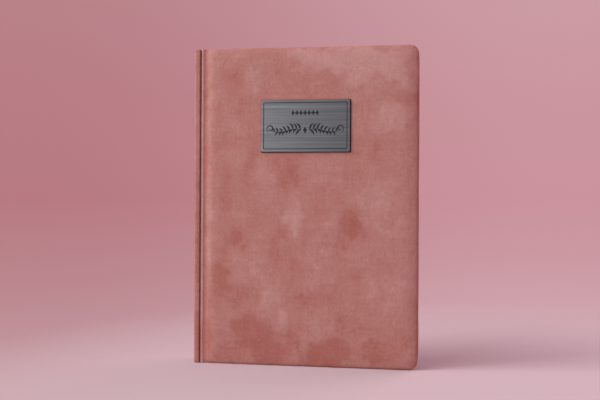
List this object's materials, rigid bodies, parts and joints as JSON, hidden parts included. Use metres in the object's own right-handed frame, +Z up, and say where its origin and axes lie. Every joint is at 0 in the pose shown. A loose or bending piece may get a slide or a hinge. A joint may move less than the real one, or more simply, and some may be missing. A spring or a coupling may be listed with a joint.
{
  "type": "guest book",
  "caption": "Upright A5 hard-cover guest book in padded velvet with a blank engraved steel plate, opening covers and turning leaves.",
  "frame": {"origin": "centre of the bottom of the closed book's bounding box, on the surface it stands on", "axes": "+X from the spine to the fore-edge, -Y out of the front cover, +Z up along the spine"},
  "size_m": [0.153, 0.0256, 0.216],
  "materials": {
    "velvet": "dusty rose short-pile velvet with a brushed, mottled nap",
    "foam": "thin padding, hidden",
    "board": "grey bookbinding board, hidden",
    "endpaper": "heavy cream endpaper, matt",
    "paper": "cream writing paper, matt",
    "steel": "brushed along its length, fine engraved line",
    "adhesive_film": "double-sided film, hidden",
    "mull": "open-weave binding gauze, hidden",
    "kraft_paper": "kraft lining, hidden in the hollow spine",
    "band_cloth": "woven striped headband",
    "thread": "linen sewing thread, hidden"
  },
  "bodies": {
    "text_block": {"signature_01": "paper", "signature_02": "paper", "signature_03": "paper", "signature_04": "paper", "signature_05": "paper", "signature_06": "paper", "signature_07": "paper", "signature_08": "paper", "signature_09": "paper", "signature_10": "paper", "mull": "mull", "spine_lining": "kraft_paper", "head_band": "band_cloth", "tail_band": "band_cloth", "sewing_thread": "thread", "spine_board": "board", "spine_velvet": "velvet", "front_joint_velvet": "velvet", "back_joint_velvet": "velvet"},
    "front_cover": {"front_board": "board", "front_foam_pad": "foam", "front_cover_velvet": "velvet", "front_pastedown": "endpaper", "name_plate": "steel", "plate_adhesive": "adhesive_film"},
    "back_cover": {"back_board": "board", "back_foam_pad": "foam", "back_cover_velvet": "velvet", "back_pastedown": "endpaper"},
    "front_flyleaf": {"front_flyleaf": "endpaper"},
    "front_leaf_1": {"front_leaf_1": "paper"},
    "front_leaf_2": {"front_leaf_2": "paper"},
    "front_leaf_3": {"front_leaf_3": "paper"},
    "front_leaf_4": {"front_leaf_4": "paper"},
    "front_leaf_5": {"front_leaf_5": "paper"},
    "back_flyleaf": {"back_flyleaf": "endpaper"},
    "back_leaf_1": {"back_leaf_1": "paper"},
    "back_leaf_2": {"back_leaf_2": "paper"},
    "back_leaf_3": {"back_leaf_3": "paper"},
    "back_leaf_4": {"back_leaf_4": "paper"}
  },
  "joints": [
    {"name": "front_cover_hinge", "type": "hinge", "parent": "text_block", "child": "front_cover", "pos_m": [-0.0743, -0.00925, 0], "axis": [0, 0, -1], "range_deg": [0, 178]},
    {"name": "back_cover_hinge", "type": "hinge", "parent": "text_block", "child": "back_cover", "pos_m": [-0.0743, 0.01075, 0], "axis": [0, 0, 1], "range_deg": [0, 178]},
    {"name": "front_flyleaf_turn", "type": "hinge", "parent": "text_block", "child": "front_flyleaf", "pos_m": [-0.0743, -0.00925, 0], "axis": [0, 0, -1], "range_deg": [0, 173.55]},
    {"name": "front_leaf_1_turn", "type": "hinge", "parent": "text_block", "child": "front_leaf_1", "pos_m": [-0.0743, -0.00925, 0], "axis": [0, 0, -1], "range_deg": [0, 165.54]},
    {"name": "front_leaf_2_turn", "type": "hinge", "parent": "text_block", "child": "front_leaf_2", "pos_m": [-0.0743, -0.00925, 0], "axis": [0, 0, -1], "range_deg": [0, 149.52]},
    {"name": "front_leaf_3_turn", "type": "hinge", "parent": "text_block", "child": "front_leaf_3", "pos_m": [-0.0743, -0.00925, 0], "axis": [0, 0, -1], "range_deg": [0, 124.6]},
    {"name": "front_leaf_4_turn", "type": "hinge", "parent": "text_block", "child": "front_leaf_4", "pos_m": [-0.0743, -0.00925, 0], "axis": [0, 0, -1], "range_deg": [0, 89]},
    {"name": "front_leaf_5_turn", "type": "hinge", "parent": "text_block", "child": "front_leaf_5", "pos_m": [-0.0743, -0.00925, 0], "axis": [0, 0, -1], "range_deg": [0, 48.06]},
    {"name": "back_flyleaf_turn", "type": "hinge", "parent": "text_block", "child": "back_flyleaf", "pos_m": [-0.0743, 0.01075, 0], "axis": [0, 0, 1], "range_deg": [0, 173.55]},
    {"name": "back_leaf_1_turn", "type": "hinge", "parent": "text_block", "child": "back_leaf_1", "pos_m": [-0.0743, 0.01075, 0], "axis": [0, 0, 1], "range_deg": [0, 160.2]},
    {"name": "back_leaf_2_turn", "type": "hinge", "parent": "text_block", "child": "back_leaf_2", "pos_m": [-0.0743, 0.01075, 0], "axis": [0, 0, 1], "range_deg": [0, 131.72]},
    {"name": "back_leaf_3_turn", "type": "hinge", "parent": "text_block", "child": "back_leaf_3", "pos_m": [-0.0743, 0.01075, 0], "axis": [0, 0, 1], "range_deg": [0, 89]},
    {"name": "back_leaf_4_turn", "type": "hinge", "parent": "text_block", "child": "back_leaf_4", "pos_m": [-0.0743, 0.01075, 0], "axis": [0, 0, 1], "range_deg": [0, 39.16]}
  ],
  "couplings": [
    {"joint": "front_flyleaf_turn", "follows": "front_cover_hinge", "ratio": 0.975},
    {"joint": "front_leaf_1_turn", "follows": "front_cover_hinge", "ratio": 0.93},
    {"joint": "front_leaf_2_turn", "follows": "front_cover_hinge", "ratio": 0.84},
    {"joint": "front_leaf_3_turn", "follows": "front_cover_hinge", "ratio": 0.7},
    {"joint": "front_leaf_4_turn", "follows": "front_cover_hinge", "ratio": 0.5},
    {"joint": "front_leaf_5_turn", "follows": "front_cover_hinge", "ratio": 0.27},
    {"joint": "back_flyleaf_turn", "follows": "back_cover_hinge", "ratio": 0.975},
    {"joint": "back_leaf_1_turn", "follows": "back_cover_hinge", "ratio": 0.9},
    {"joint": "back_leaf_2_turn", "follows": "back_cover_hinge", "ratio": 0.74},
    {"joint": "back_leaf_3_turn", "follows": "back_cover_hinge", "ratio": 0.5},
    {"joint": "back_leaf_4_turn", "follows": "back_cover_hinge", "ratio": 0.22}
  ]
}
